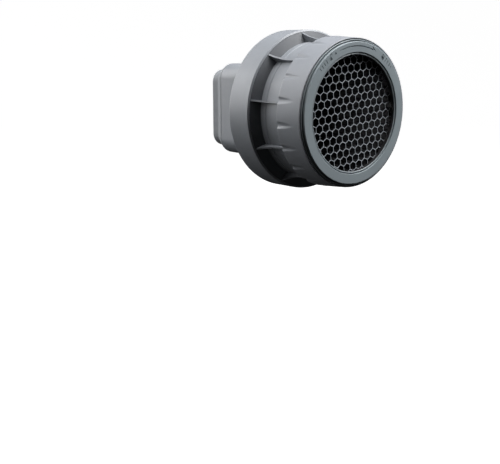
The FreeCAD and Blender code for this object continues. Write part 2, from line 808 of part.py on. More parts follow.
def make_core_retainer():
    """Cup that carries the honeycomb on a rear shelf and is screwed to the ring's web."""
    body = new_body("core_retainer")
    revolve(body, "retainer", [
        ("retainer_bore", "retainer_rear"),
        ("retainer_outer", "retainer_rear"),
        ("retainer_outer", "ring_web_front"),
        ("retainer_radius", "ring_web_front"),
        ("retainer_radius", "retainer_front"),
        ("retainer_inner", "retainer_front"),
        ("retainer_inner", "retainer_shelf"),
        ("retainer_bore", "retainer_shelf"),
    ])
    drill(body, "retainer_hole", "retainer_circle", "0", "retainer_front",
          "retainer_front - ring_web_front", SCREW_COUNT)
    return body


def make_honeycomb():
    """Disc of hexagonal cells, cut round by its rim."""
    pitch, wall = value("cell_pitch"), value("cell_wall")
    radius, rim = value("core_radius"), value("core_rim")
    row_angle = value("cell_row_angle")
    row_step = pitch * math.sqrt(3) / 2
    corner_radius = (pitch - wall) / math.sqrt(3)
    open_area = Part.Face(Part.Wire(Part.makeCircle(radius - rim)))
    reach = int(radius / row_step) + 2
    cells = []
    for line in range(-reach, reach + 1):
        for column in range(-reach, reach + 1):
            centre = Vector((column + 0.5 * (line % 2)) * pitch, line * row_step, 0)
            corners = [centre + corner_radius * unit(30 + 60 * k) for k in range(7)]
            cell = Part.Face(Part.makePolygon(corners))
            cell.rotate(Vector(0, 0, 0), Vector(0, 0, 1), row_angle)
            cell.translate(Vector(value("lattice_right"), value("lattice_up"), 0))
            if cell.CenterOfMass.Length > radius + corner_radius:
                continue
            if max(vertex.Point.Length for vertex in cell.Vertexes) > radius - rim:
                cell = cell.common(open_area)
            if cell.Area > SMALLEST_CELL:
                cells.append(cell)
    disc = Part.Face(Part.Wire(Part.makeCircle(radius)))
    lattice = disc.cut(Part.makeCompound(cells)).Faces[0]
    block = lattice.extrude(Vector(0, 0, value("core_front - core_rear")))
    block.translate(Vector(0, 0, value("core_rear")))
    feature = doc.addObject("Part::Feature", "honeycomb_core")
    feature.Label = "honeycomb_core"
    feature.Shape = block
    pieces.append(feature)
    return feature


def unit(degrees):
    return Vector(math.cos(math.radians(degrees)), math.sin(math.radians(degrees)), 0)


# ---------------------------------------------------------------- assembly

make_boot()
make_grip_pad("grip_pad_right", "pad_narrow", "head_width / 2 + pad_thickness", 0)
make_grip_pad("grip_pad_top", "pad_wide", "head_height / 2 + pad_thickness", 1)
make_grip_pad("grip_pad_left", "pad_narrow", "head_width / 2 + pad_thickness", 2)
make_grip_pad("grip_pad_bottom", "pad_wide", "head_height / 2 + pad_thickness", 3)
make_boot_frame()
make_drum_shell()
make_light_tunnel()
make_fin_collar()
make_lock_ring()
make_front_seal()
make_grid_shell()
make_trim_ring()
make_face_bezel()
make_lip_ring()
make_core_gasket()
make_core_retainer()
make_honeycomb()

frame_places = [(sign_x * value("frame_screw_side"), sign_y * value("frame_screw_up"))
                for sign_x, sign_y in FRAME_SCREWS]
frame_seat = value("boot_length + spigot_length + frame_thickness + shelf_thickness")
make_screws("boot_frame_screws", frame_places, frame_seat, value("frame_screw_length"))
flange_seat = value("drum_rear + plate_thickness + flange_thickness")
make_screws("tunnel_screws", around(SCREW_COUNT, value("flange_circle")), flange_seat,
            value("flange_thickness + flange_bite"))
make_screws("collar_screws", around(SCREW_COUNT, value("boss_circle")),
            value("tunnel_front + web_thickness"), value("collar_screw_length"))
make_screws("retainer_screws", around(SCREW_COUNT, value("retainer_circle")),
            value("retainer_front"), value("retainer_front - ring_web_front + retainer_bite"))

for piece in pieces:
    piece.Placement = TO_ROW.multiply(piece.Placement)
doc.recompute()


# ---------------------------------------------------------------- checks and export

def check_document():
    """Stop if anything failed to build, a cut removed nothing or a piece has no solid."""
    for item in doc.Objects:
        if "Invalid" in item.State or "Error" in item.State:
            raise RuntimeError(f"{item.Name} failed: {item.State}")
        if item.TypeId in ("PartDesign::Pocket", "PartDesign::Groove"):
            if item.Shape.Volume > item.BaseFeature.Shape.Volume - SMALLEST_CUT:
                raise RuntimeError(f"{item.Name} cuts nothing")
    for piece in pieces:
        if piece.Shape.isNull() or not piece.Shape.isValid():
            raise RuntimeError(f"{piece.Label} has no valid shape")


check_document()
os.makedirs("parts", exist_ok=True)
for piece in pieces:
    piece.Shape.exportStep(f"parts/{piece.Label}.step")
    box = piece.Shape.BoundBox
    print(f"{piece.Label}: {len(piece.Shape.Solids)} solid(s), {piece.Shape.Volume:.0f} mm3,"
          f" Y {box.YMin:.2f} to {box.YMax:.2f}")
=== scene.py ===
import math
import random

import bmesh
import bpy
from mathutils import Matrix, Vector


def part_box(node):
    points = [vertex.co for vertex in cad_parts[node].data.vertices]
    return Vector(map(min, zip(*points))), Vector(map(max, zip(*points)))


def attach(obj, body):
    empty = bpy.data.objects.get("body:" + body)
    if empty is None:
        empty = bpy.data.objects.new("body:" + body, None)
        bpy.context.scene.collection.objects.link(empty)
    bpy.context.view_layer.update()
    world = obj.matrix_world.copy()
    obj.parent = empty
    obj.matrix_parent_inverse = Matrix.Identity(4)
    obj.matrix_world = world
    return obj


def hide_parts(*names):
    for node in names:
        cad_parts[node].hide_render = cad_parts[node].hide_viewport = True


# The looks of a honeycomb grid ring on its finned flash-head mount.
#
# Pieces are drawn in millimetres along the light's axis: height 0 is the rear mouth of the
# socket and height grows towards the honeycomb face. place() turns that onto the frame,
# where the face looks along -Y. Angles run anticlockwise from +X, seen from the front.

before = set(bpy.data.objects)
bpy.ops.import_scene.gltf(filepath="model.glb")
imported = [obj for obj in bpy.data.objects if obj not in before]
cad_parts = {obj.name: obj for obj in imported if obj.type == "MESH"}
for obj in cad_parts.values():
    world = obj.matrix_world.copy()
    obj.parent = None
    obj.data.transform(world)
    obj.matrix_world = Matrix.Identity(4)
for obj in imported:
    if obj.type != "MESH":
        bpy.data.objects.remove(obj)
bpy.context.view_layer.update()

MM = 0.001
TURN_STEPS = 720
PLAIN_TURN_STEPS = 360
ARC_STEPS = 4
LONGEST_REACH = 0.48
SHARP_DEGREES = 32
NORMAL_WEIGHT = 80
FINE = 0.02
CUT_OVER = 1.0


def place(across, up, height):
    """A point of the frame, in metres."""
    return Vector((across * MM, -height * MM, up * MM))


def polar(radius, degrees, height):
    angle = math.radians(degrees)
    return place(radius * math.cos(angle), radius * math.sin(angle), height)


def extent(node):
    """Rear height, front height and greatest half width of a CAD node, in millimetres."""
    low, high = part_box(node)
    return -high.y / MM, -low.y / MM, max(high.x, -low.x) / MM


SKIRT_REAR, RING_FRONT, SKIRT_RADIUS = extent("grid_shell")
BEZEL_FOOT, FACE_FRONT, BEZEL_RADIUS = extent("face_bezel")
LIP_REAR, LIP_FRONT, LIP_FLANGE = extent("lip_ring")
TRIM_REAR, TRIM_FRONT, TRIM_FOOT = extent("trim_ring")
CORE_REAR, CORE_FRONT, CORE_RADIUS = extent("honeycomb_core")
DRUM_RADIUS = extent("drum_shell")[2]
TUNNEL_REAR, TUNNEL_FRONT, TUNNEL_FLANGE = extent("light_tunnel")
NECK_FRONT = extent("fin_collar")[1]
BOOT_FRONT = extent("boot_sleeve")[1]


# ---------------------------------------------------------------- mesh helpers

def soften(corners):
    """A closed section whose (x, y, radius) corners are rounded to arcs."""
    points = []
    count = len(corners)
    for k, (x, y, radius) in enumerate(corners):
        corner = Vector((x, y))
        before = Vector(corners[k - 1][:2]) - corner
        after = Vector(corners[(k + 1) % count][:2]) - corner
        if radius <= 0:
            points.append(corner)
            continue
        half = before.angle(after) / 2
        reach = min(radius / math.tan(half), LONGEST_REACH * before.length,
                    LONGEST_REACH * after.length)
        radius = reach * math.tan(half)
        bisector = (before.normalized() + after.normalized()).normalized()
        centre = corner + bisector * (radius / math.sin(half))
        first = corner + before.normalized() * reach - centre
        last = corner + after.normalized() * reach - centre
        turn = first.angle_signed(last)
        start = math.atan2(first.y, first.x)
        for step in range(ARC_STEPS + 1):
            angle = start - turn * step / ARC_STEPS
            points.append(centre + radius * Vector((math.cos(angle), math.sin(angle))))
    return [(point.x, point.y) for point in points]


def divide(section, longest):
    """The same closed section with no side longer than asked."""
    points = []
    for (x, y), (next_x, next_y) in zip(section, section[1:] + section[:1]):
        parts = max(1, math.ceil(math.hypot(next_x - x, next_y - y) / longest))
        for step in range(parts):
            share = step / parts
            points.append((x + (next_x - x) * share, y + (next_y - y) * share))
    return points


def join_rings(rings, closed_loop=True):
    """Faces between neighbouring rings of equal length. A closed loop joins the last ring
    to the first."""
    size = len(rings[0])
    verts = [point for ring in rings for point in ring]
    faces = []
    last = len(rings) if closed_loop else len(rings) - 1
    for k in range(last):
        here, there = k * size, ((k + 1) % len(rings)) * size
        for i in range(size):
            j = (i + 1) % size
            faces.append((here + i, here + j, there + j, there + i))
    return verts, faces


def lathe(section, shape=None, steps=TURN_STEPS):
    """A closed ring turned from a closed (radius, height) section. shape, if given, changes
    a point's radius by its height and angle."""
    rings = []
    for k in range(steps):
        degrees = 360 * k / steps
        ring = []
        for radius, height in section:
            reach = shape(radius, height, degrees) if shape else radius
            ring.append(polar(reach, degrees, height))
        rings.append(ring)
    return join_rings(rings)


def stack(rings):
    """A closed block through rings of equal length, with the first and last as its ends."""
    verts, faces = join_rings(rings, closed_loop=False)
    count = len(rings[0])
    ends = [tuple(range(count)), tuple(range(len(verts) - count, len(verts)))]
    return verts, faces + ends


def circle(radius, sides, x=0.0, y=0.0):
    angles = [math.radians(360 * k / sides) for k in range(sides)]
    return [(x + radius * math.cos(a), y + radius * math.sin(a)) for a in angles]


def prism(outline, rear, front):
    """A closed prism on an outline of (across, up) points."""
    count = len(outline)
    verts = [place(x, y, rear) for x, y in outline] + [place(x, y, front) for x, y in outline]
    faces = [tuple(range(count)), tuple(range(count, 2 * count))]
    for i in range(count):
        j = (i + 1) % count
        faces.append((i, j, count + j, count + i))
    return verts, faces


def merge(parts):
    verts, faces = [], []
    for part_verts, part_faces in parts:
        offset = len(verts)
        verts.extend(part_verts)
        faces.extend(tuple(i + offset for i in face) for face in part_faces)
    return verts, faces


def make_object(name, solid, materials=()):
    """A mesh object with its faces turned outwards."""
    verts, faces = solid
    mesh = bpy.data.meshes.new(name)
    mesh.from_pydata(verts, [], faces)
    work = bmesh.new()
    work.from_mesh(mesh)
    bmesh.ops.recalc_face_normals(work, faces=work.faces)
    work.to_mesh(mesh)
    work.free()
    mesh.update()
    obj = bpy.data.objects.new(name, mesh)
    bpy.context.scene.collection.objects.link(obj)
    for material in materials:
        mesh.materials.append(material)
    return obj


def combine(obj, tool_solid, operation):
    """Adds, cuts or keeps the common part of a second solid, exactly."""
    tool = make_object(obj.name + "_tool", tool_solid)
    modifier = obj.modifiers.new("combine", "BOOLEAN")
    modifier.operation = operation
    modifier.solver = "EXACT"
    modifier.use_self = True
    modifier.object = tool
    bake_modifiers(obj)
    bpy.data.objects.remove(tool)


def bake_modifiers(obj):
    graph = bpy.context.evaluated_depsgraph_get()
    baked = bpy.data.meshes.new_from_object(obj.evaluated_get(graph))
    obj.modifiers.clear()
    old = obj.data
    obj.data = baked
    bpy.data.meshes.remove(old)


def smooth(obj):
    for polygon in obj.data.polygons:
        polygon.use_smooth = True
    obj.data.set_sharp_from_angle(angle=math.radians(SHARP_DEGREES))
    weighted = obj.modifiers.new("weighted_normals", "WEIGHTED_NORMAL")
    weighted.keep_sharp = True
    weighted.weight = NORMAL_WEIGHT
    bake_modifiers(obj)


def middle_of(polygon):
    """Distance from the axis and height of a polygon's middle, in millimetres."""
    return math.hypot(polygon.center.x, polygon.center.z) / MM, -polygon.center.y / MM


def finish_piece(obj, body, node):
    smooth(obj)
    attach(obj, body)
    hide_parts(node)
    return obj


# ---------------------------------------------------------------- materials

NOISE_LOW, NOISE_HIGH = 0.3, 0.7


class Graph:
    """A material's node tree, with its Principled shader."""

    def __init__(self, name):
        self.material = bpy.data.materials.new(name)
        self.material.use_nodes = True
        self.tree = self.material.node_tree
        self.shader = self.tree.nodes["Principled BSDF"]
        self.coordinates = self.add("ShaderNodeTexCoord").outputs["Object"]

    def add(self, kind, **settings):
        node = self.tree.nodes.new(kind)
        for key, value in settings.items():
            setattr(node, key, value)
        return node

    def link(self, output, target):
        self.tree.links.new(output, target)

    def noise(self, scale, detail=3.0, roughness=0.55, stretch=None):
        node = self.add("ShaderNodeTexNoise")
        node.inputs["Scale"].default_value = scale
        node.inputs["Detail"].default_value = detail
        node.inputs["Roughness"].default_value = roughness
        source = self.coordinates
        if stretch:
            mapping = self.add("ShaderNodeMapping")
            mapping.inputs["Scale"].default_value = stretch
            self.link(source, mapping.inputs["Vector"])
            source = mapping.outputs["Vector"]
        self.link(source, node.inputs["Vector"])
        return node.outputs["Fac"]

    def spread(self, value, low, high):
        """A noise value carried onto another range."""
        node = self.add("ShaderNodeMapRange")
        node.inputs["From Min"].default_value = NOISE_LOW
        node.inputs["From Max"].default_value = NOISE_HIGH
        node.inputs["To Min"].default_value = low
        node.inputs["To Max"].default_value = high
        self.link(value, node.inputs["Value"])
        return node.outputs["Result"]

    def multiply(self, first, second):
        node = self.add("ShaderNodeMath", operation="MULTIPLY")
        self.link(first, node.inputs[0])
        self.link(second, node.inputs[1])
        return node.outputs[0]

    def tint(self, colour, brightness):
        """The colour made lighter and darker by a brightness near 1."""
        node = self.add("ShaderNodeMix", data_type="RGBA", blend_type="MULTIPLY")
        node.inputs["Factor"].default_value = 1.0
        node.inputs["A"].default_value = (*colour, 1.0)
        grey = self.add("ShaderNodeCombineColor")
        for channel in ("Red", "Green", "Blue"):
            self.link(brightness, grey.inputs[channel])
        self.link(grey.outputs["Color"], node.inputs["B"])
        return node.outputs["Result"]

    def bump(self, height, strength, distance, below=None):
        node = self.add("ShaderNodeBump")
        node.inputs["Strength"].default_value = strength
        node.inputs["Distance"].default_value = distance
        self.link(height, node.inputs["Height"])
        if below:
            self.link(below, node.inputs["Normal"])
        return node.outputs["Normal"]


def moulded_plastic(name, colour, roughness, variation=0.05, grain=0.5, grain_size=0.35,
                    clouds=55.0):
    """Moulded plastic: soft clouds of tone, fine spark-eroded grain and uneven gloss."""
    graph = Graph(name)
    cloud = graph.noise(clouds, detail=4.0)
    speck = graph.noise(1.0 / (grain_size * MM), detail=2.0)
    tone = graph.multiply(graph.spread(cloud, 1 - variation, 1 + variation),
                          graph.spread(speck, 1 - variation / 2, 1 + variation / 2))
    graph.link(graph.tint(colour, tone), graph.shader.inputs["Base Color"])
    patch = graph.noise(clouds * 0.6, detail=5.0, roughness=0.65)
    graph.link(graph.spread(patch, roughness - 0.05, roughness + 0.06),
               graph.shader.inputs["Roughness"])
    flow = graph.bump(graph.noise(clouds * 0.5), 0.15, 0.25 * MM)
    normal = graph.bump(speck, grain, 0.03 * MM, below=flow)
    graph.link(normal, graph.shader.inputs["Normal"])
    graph.shader.inputs["Specular IOR Level"].default_value = 0.5
    return graph.material


def rubber(name, colour, roughness):
    """Matt elastomer with a faint powdery bloom."""
    graph = Graph(name)
    bloom = graph.noise(120.0, detail=6.0, roughness=0.7)
    speck = graph.noise(2600.0, detail=2.0)
    tone = graph.multiply(graph.spread(bloom, 0.93, 1.08), graph.spread(speck, 0.96, 1.04))
    graph.link(graph.tint(colour, tone), graph.shader.inputs["Base Color"])
    graph.link(graph.spread(bloom, roughness - 0.06, roughness + 0.06),
               graph.shader.inputs["Roughness"])
    graph.link(graph.bump(speck, 0.5, 0.04 * MM), graph.shader.inputs["Normal"])
    graph.shader.inputs["Specular IOR Level"].default_value = 0.35
    graph.shader.inputs["Sheen Weight"].default_value = 0.08
    graph.shader.inputs["Sheen Roughness"].default_value = 0.5
    return graph.material


def metal(name, colour, roughness):
    """Plated steel with fine drawn lines round the axis."""
    graph = Graph(name)
    lines = graph.noise(900.0, detail=3.0, stretch=(1.0, 9.0, 1.0))
    graph.link(graph.tint(colour, graph.spread(lines, 0.86, 1.1)),
               graph.shader.inputs["Base Color"])
    graph.link(graph.spread(lines, roughness - 0.08, roughness + 0.1),
               graph.shader.inputs["Roughness"])
    graph.link(graph.bump(lines, 0.2, 0.01 * MM), graph.shader.inputs["Normal"])
    graph.shader.inputs["Metallic"].default_value = 1.0
    return graph.material


def felt(name, colour):
    """Short-haired felt."""
    graph = Graph(name)
    hair = graph.noise(3200.0, detail=6.0, roughness=0.75)
    graph.link(graph.tint(colour, graph.spread(hair, 0.6, 1.6)),
               graph.shader.inputs["Base Color"])
    graph.link(graph.bump(hair, 0.9, 0.12 * MM), graph.shader.inputs["Normal"])
    graph.shader.inputs["Roughness"].default_value = 0.95
    graph.shader.inputs["Sheen Weight"].default_value = 0.3
    return graph.material


HOUSING = moulded_plastic("housing_plastic", (0.214, 0.228, 0.250), 0.46)
RING = moulded_plastic("ring_plastic", (0.236, 0.250, 0.275), 0.44)
# Painted shade: the cone wall is the housing's own plastic, drawn far darker for the shade in its
# recess between drum rim and neck.
CONE_PAINTED_SHADE = moulded_plastic("cone_painted_shade", (0.070, 0.076, 0.086), 0.62, variation=0.12, grain=0.8)
FACE = moulded_plastic("face_plastic", (0.250, 0.290, 0.312), 0.50, variation=0.04, grain=0.4)
BEAD = moulded_plastic("bead_plastic", (0.255, 0.290, 0.310), 0.42, grain=0.3)
BLACK = moulded_plastic("black_plastic", (0.010, 0.010, 0.012), 0.60, variation=0.15, grain=0.8)
COMB_EDGE = moulded_plastic("comb_edge", (0.37, 0.405, 0.44), 0.40, variation=0.12, clouds=160.0,
                            grain=0.3, grain_size=0.2)
COMB_WALL = moulded_plastic("comb_wall", (0.006, 0.007, 0.011), 0.55, variation=0.2, grain=0.3)
BOOT_RUBBER = rubber("boot_rubber", (0.186, 0.199, 0.215), 0.62)
PAD = rubber("pad_rubber", (0.018, 0.018, 0.020), 0.75)
SCREW = metal("plated_steel", (0.52, 0.53, 0.55), 0.34)
SPRING = metal("spring_steel", (0.62, 0.62, 0.63), 0.28)
FELT = felt("black_felt", (0.010, 0.010, 0.011))


# ---------------------------------------------------------------- grid ring

RING_RADIUS = 54.1
RING_BORE = 52.4
RECESS_RADIUS = 53.5
WEB_REAR = 111.4
WEB_FRONT = 113.4
WEB_BORE = 46.6
LEDGE_REAR = 104.6
LEDGE_FRONT = 106.6
LEDGE_RADIUS = 50.4
LUG_REAR = 107.0
LUG_FRONT = 109.6
LUG_RADIUS = 51.8
LUG_HALF = 8.0
GATE_HALF = 10.0
STOP_HALF = 2.0
CLOSED_STOP = 29.0
OPEN_STOP = -12.0
LUG_PITCH = 120.0
SLOT_ANGLE = 60.0
SLOT_HALF = 2.1
SLOT_RADIUS = 53.6
SLOT_FRONT = 103.3
SCALLOP_RADIUS = 3.4
SCALLOP_DEPTH = 1.15
SCALLOP_PITCH = 18.0
SCALLOP_ANGLE = 24.8
SCALLOP_BLEND = 0.12
SCALLOPED_FROM = RING_BORE + 1.2
PLAIN_FRONT_BAND = 1.0
BORE_SKIN = 1.0
RING_MESH_STEP = 0.7


def from_nearest(degrees, first, pitch):
    """Angle from the nearest of the marks at first, first + pitch and so on."""
    return (degrees - first + pitch / 2) % pitch - pitch / 2


def scallop_reach(degrees):
    """Radius of the finger groove's floor on a ray from the axis, infinite between grooves."""
    centre = SKIRT_RADIUS - SCALLOP_DEPTH + SCALLOP_RADIUS
    offset = math.radians(from_nearest(degrees, SCALLOP_ANGLE, SCALLOP_PITCH))
    inside = SCALLOP_RADIUS ** 2 - (centre * math.sin(offset)) ** 2
    if inside <= 0:
        return math.inf
    return centre * math.cos(offset) - math.sqrt(inside)


def soft_least(first, second, blend):
    """The lesser of two numbers, rounded where they cross."""
    gap = max(blend - abs(first - second), 0.0) / blend
    return min(first, second) - gap * gap * blend / 4


def ring_shape(radius, height, degrees):
    if radius > SCALLOPED_FROM and height < RING_FRONT - PLAIN_FRONT_BAND:
        return soft_least(radius, scallop_reach(degrees), SCALLOP_BLEND)
    if LEDGE_REAR - FINE < height < LEDGE_FRONT + FINE and radius < RING_BORE - FINE:
        gate = abs(from_nearest(degrees, 0.0, LUG_PITCH)) < GATE_HALF
        return RING_BORE if gate else radius
    if LEDGE_FRONT + FINE < height < LUG_FRONT + FINE and radius < RING_BORE + FINE:
        closed = abs(from_nearest(degrees, CLOSED_STOP, LUG_PITCH)) < STOP_HALF
        opened = abs(from_nearest(degrees, OPEN_STOP, LUG_PITCH)) < STOP_HALF
        return LEDGE_RADIUS if closed or opened else radius
    if height < SLOT_FRONT and radius < RING_BORE + BORE_SKIN:
        slot = abs(from_nearest(degrees, SLOT_ANGLE, LUG_PITCH)) < SLOT_HALF
        return SLOT_RADIUS if slot else radius
    return radius


def make_grid_shell():
    section = soften([
        (RING_BORE, SKIRT_REAR, 0.3),
        (SKIRT_RADIUS, SKIRT_REAR, 0.5),
        (RING_RADIUS, RING_FRONT, 0.3),
        (RECESS_RADIUS, RING_FRONT, 0.15),
        (RECESS_RADIUS, TRIM_REAR, 0),
        (RING_BORE, TRIM_REAR, 0),
        (RING_BORE, WEB_FRONT, 0),
        (WEB_BORE, WEB_FRONT, 0.2),
        (WEB_BORE, WEB_REAR, 0.2),
        (RING_BORE, WEB_REAR, 0),
        (RING_BORE, LUG_FRONT + 2 * FINE, 0),
        (RING_BORE, LUG_FRONT, 0),
        (RING_BORE, LEDGE_FRONT + 2 * FINE, 0),
        (RING_BORE, LEDGE_FRONT, 0),
        (LEDGE_RADIUS, LEDGE_FRONT, 0),
        (LEDGE_RADIUS, LEDGE_REAR, 0),
        (RING_BORE, LEDGE_REAR, 0),
        (RING_BORE, SLOT_FRONT + FINE, 0),
        (RING_BORE, SLOT_FRONT - FINE, 0),
    ])
    section = divide(section, RING_MESH_STEP)
    ring = make_object("outer_ring", lathe(section, ring_shape), [RING])
    return finish_piece(ring, "grid", "grid_shell")


TRIM_FOOT_BORE = 52.0
RIB_BORE = 52.1
RIB_RADIUS = 52.8
TRIM_FOOT_FRONT = TRIM_REAR + 0.9


def make_trim_ring():
    section = soften([
        (TRIM_FOOT_BORE, TRIM_REAR, 0),
        (TRIM_FOOT, TRIM_REAR, 0),
        (TRIM_FOOT, TRIM_FOOT_FRONT, 0.2),
        (RIB_RADIUS, TRIM_FOOT_FRONT, 0.1),
        (RIB_RADIUS, TRIM_FRONT, 0.3),
        (RIB_BORE, TRIM_FRONT, 0.3),
        (RIB_BORE, TRIM_FOOT_FRONT, 0.05),
        (TRIM_FOOT_BORE, TRIM_FOOT_FRONT, 0),
    ])
    trim = make_object("seam_rib", lathe(section, steps=PLAIN_TURN_STEPS), [BEAD])
    return finish_piece(trim, "grid", "trim_ring")


BEZEL_BORE = 43.9
BEZEL_SKIRT = 50.7
BEZEL_REAR = 120.6
MARK_DEPTH = 0.6
MARK_RADIUS = 48.3
ARC_WIDTH = 0.7
ARC_FROM, ARC_TO = 112.0, 71.0
SECTOR_STEPS = 48
PIP_ANGLE = 117.5
PIP_RADIUS = 0.75
PIP_SIDES = 12
ARROW_HEAD = ((-0.2, 0.5), (3.6, -0.5), (-0.9, 2.3), (-1.35, 1.95))
OPEN_SIGN_ANGLE = 125.0
CLOSED_SIGN_ANGLE = 57.0
TICKS_FROM_SIGN = 4.6
TICK_STEP = 3.1
TICK_COUNT = 4
TICK_HALF_WIDTH = 0.28
TICK_HALF_HEIGHT = 1.9
TICK_SHORTENING = 0.25
PADLOCK_BODY = (-1.5, 1.5, -1.9, 0.3)
BOW_FOOT = 0.55
BOW_CROWN = 0.95
BOW_HALF = 1.15
BOW_STROKE = 0.42
BOW_STEPS = 14
OPEN_BOW_SHIFT = 1.9
OPEN_BOW_LIFT = 0.25


def sector(inner, outer, start, end):
    """Outline of a band between two radii and two angles."""
    angles = [math.radians(start + (end - start) * k / SECTOR_STEPS)
              for k in range(SECTOR_STEPS + 1)]
    out = [(outer * math.cos(a), outer * math.sin(a)) for a in angles]
    back = [(inner * math.cos(a), inner * math.sin(a)) for a in reversed(angles)]
    return out + back


def on_face(outline, degrees):
    """An outline of (along the ring, outwards) points, set upright on the face."""
    angle = math.radians(degrees)
    out = Vector((math.cos(angle), math.sin(angle)))
    along = Vector((math.sin(angle), -math.cos(angle)))
    points = [out * (MARK_RADIUS + y) + along * x for x, y in outline]
    return [(point.x, point.y) for point in points]


def box_outline(left, right, low, high):
    return [(left, low), (right, low), (right, high), (left, high)]


def bow_outline(shift, lift):
    """A padlock's bow: two legs and a half round."""
    foot, crown = BOW_FOOT + lift, BOW_CROWN + lift
    inner_half = BOW_HALF - BOW_STROKE
    turns = [math.pi * k / BOW_STEPS for k in range(BOW_STEPS + 1)]
    outer = [(shift + BOW_HALF * math.cos(t), crown + BOW_HALF * math.sin(t)) for t in turns]
    inner = [(shift + inner_half * math.cos(t), crown + inner_half * math.sin(t))
             for t in reversed(turns)]
    return ([(shift + BOW_HALF, foot)] + outer + [(shift - BOW_HALF, foot)]
            + [(shift - inner_half, foot)] + inner + [(shift + inner_half, foot)])


def padlock(degrees, is_open):
    """Engraved outlines of a plain padlock, with its bow swung aside if it is open."""
    body = on_face(box_outline(*PADLOCK_BODY), degrees)
    shift, lift = (OPEN_BOW_SHIFT, OPEN_BOW_LIFT) if is_open else (0.0, 0.0)
    return [body, on_face(bow_outline(shift, lift), degrees)]


def face_marks():
    """Outlines of the turning arrow, the pip and the two signs that stand for the words."""
    half = ARC_WIDTH / 2
    marks = [sector(MARK_RADIUS - half, MARK_RADIUS + half, ARC_FROM, ARC_TO)]
    marks.append(on_face(ARROW_HEAD, ARC_TO))
    marks.append(on_face(circle(PIP_RADIUS, PIP_SIDES), PIP_ANGLE))
    marks += padlock(OPEN_SIGN_ANGLE, True) + padlock(CLOSED_SIGN_ANGLE, False)
    for k in range(TICK_COUNT):
        tall = TICK_HALF_HEIGHT - TICK_SHORTENING * k
        tick = box_outline(-TICK_HALF_WIDTH, TICK_HALF_WIDTH, -tall, tall)
        marks.append(on_face(tick, OPEN_SIGN_ANGLE + TICKS_FROM_SIGN + TICK_STEP * k))
        marks.append(on_face(tick, CLOSED_SIGN_ANGLE - TICKS_FROM_SIGN - TICK_STEP * k))
    return marks


def make_face_bezel():
    section = soften([
        (BEZEL_BORE, BEZEL_REAR, 0),
        (BEZEL_SKIRT, BEZEL_REAR, 0.4),
        (BEZEL_SKIRT, BEZEL_FOOT, 0),
        (BEZEL_RADIUS, BEZEL_FOOT, 0),
        (BEZEL_RADIUS, FACE_FRONT, 0.55),
        (BEZEL_BORE, FACE_FRONT, 0.3),
    ])
    bezel = make_object("front_face", lathe(section, steps=PLAIN_TURN_STEPS), [FACE])
    rear, front = FACE_FRONT - MARK_DEPTH, FACE_FRONT + CUT_OVER
    combine(bezel, merge([prism(mark, rear, front) for mark in face_marks()]), "DIFFERENCE")
    return finish_piece(bezel, "grid", "face_bezel")


LIP_RADIUS = 42.3
LIP_WALL = 1.0
LIP_BORE_SKIN = 0.1
PALE_LIP_DEPTH = 0.4


def make_lip_ring():
    outer = LIP_RADIUS + LIP_WALL
    section = soften([
        (LIP_RADIUS, LIP_REAR, 0.1),
        (LIP_FLANGE, LIP_REAR, 0.1),
        (LIP_FLANGE, BEZEL_REAR, 0.1),
        (outer, BEZEL_REAR, 0.2),
        (outer, LIP_FRONT, 0.45),
        (LIP_RADIUS, LIP_FRONT, 0.45),
    ])
    lip = make_object("aperture_bead", lathe(section, steps=PLAIN_TURN_STEPS), [BEAD, BLACK])
    # Painted shade: behind its pale front band, the lip's inner wall gets the black plastic for
    # the shade inside the face's recess.
    for polygon in lip.data.polygons:
        radius, height = middle_of(polygon)
        if radius < LIP_RADIUS + LIP_BORE_SKIN and height < LIP_FRONT - PALE_LIP_DEPTH:
            polygon.material_index = 1
    return finish_piece(lip, "grid", "lip_ring")


# ---------------------------------------------------------------- honeycomb

CELL_PITCH = 6.35
CELL_WALL = 0.55
CELL_CHAMFER = 0.09
ROW_ANGLE = 6.7
LATTICE_SHIFT = (1.86, -0.29)
CELL_JITTER = 0.05
JITTER_SEED = 7
SAME_CORNER = 0.1
DISC_SIDES = 240
WALL_SLOPE = 0.3
DISC_SKIN = 0.1


def honeycomb_cells(reach):
    """Centres of the cells whose centre is within reach of the axis, keyed by row and column."""
    row_step = CELL_PITCH * math.sqrt(3) / 2
    turn = math.radians(ROW_ANGLE)
    rows = int(reach / row_step) + 2
    cells = {}
    for row in range(-rows, rows + 1):
        for column in range(-rows, rows + 1):
            x, y = (column + 0.5 * (row % 2)) * CELL_PITCH, row * row_step
            turned = (x * math.cos(turn) - y * math.sin(turn) + LATTICE_SHIFT[0],
                      x * math.sin(turn) + y * math.cos(turn) + LATTICE_SHIFT[1])
            if math.hypot(*turned) < reach:
                cells[(row, column)] = turned
    return cells


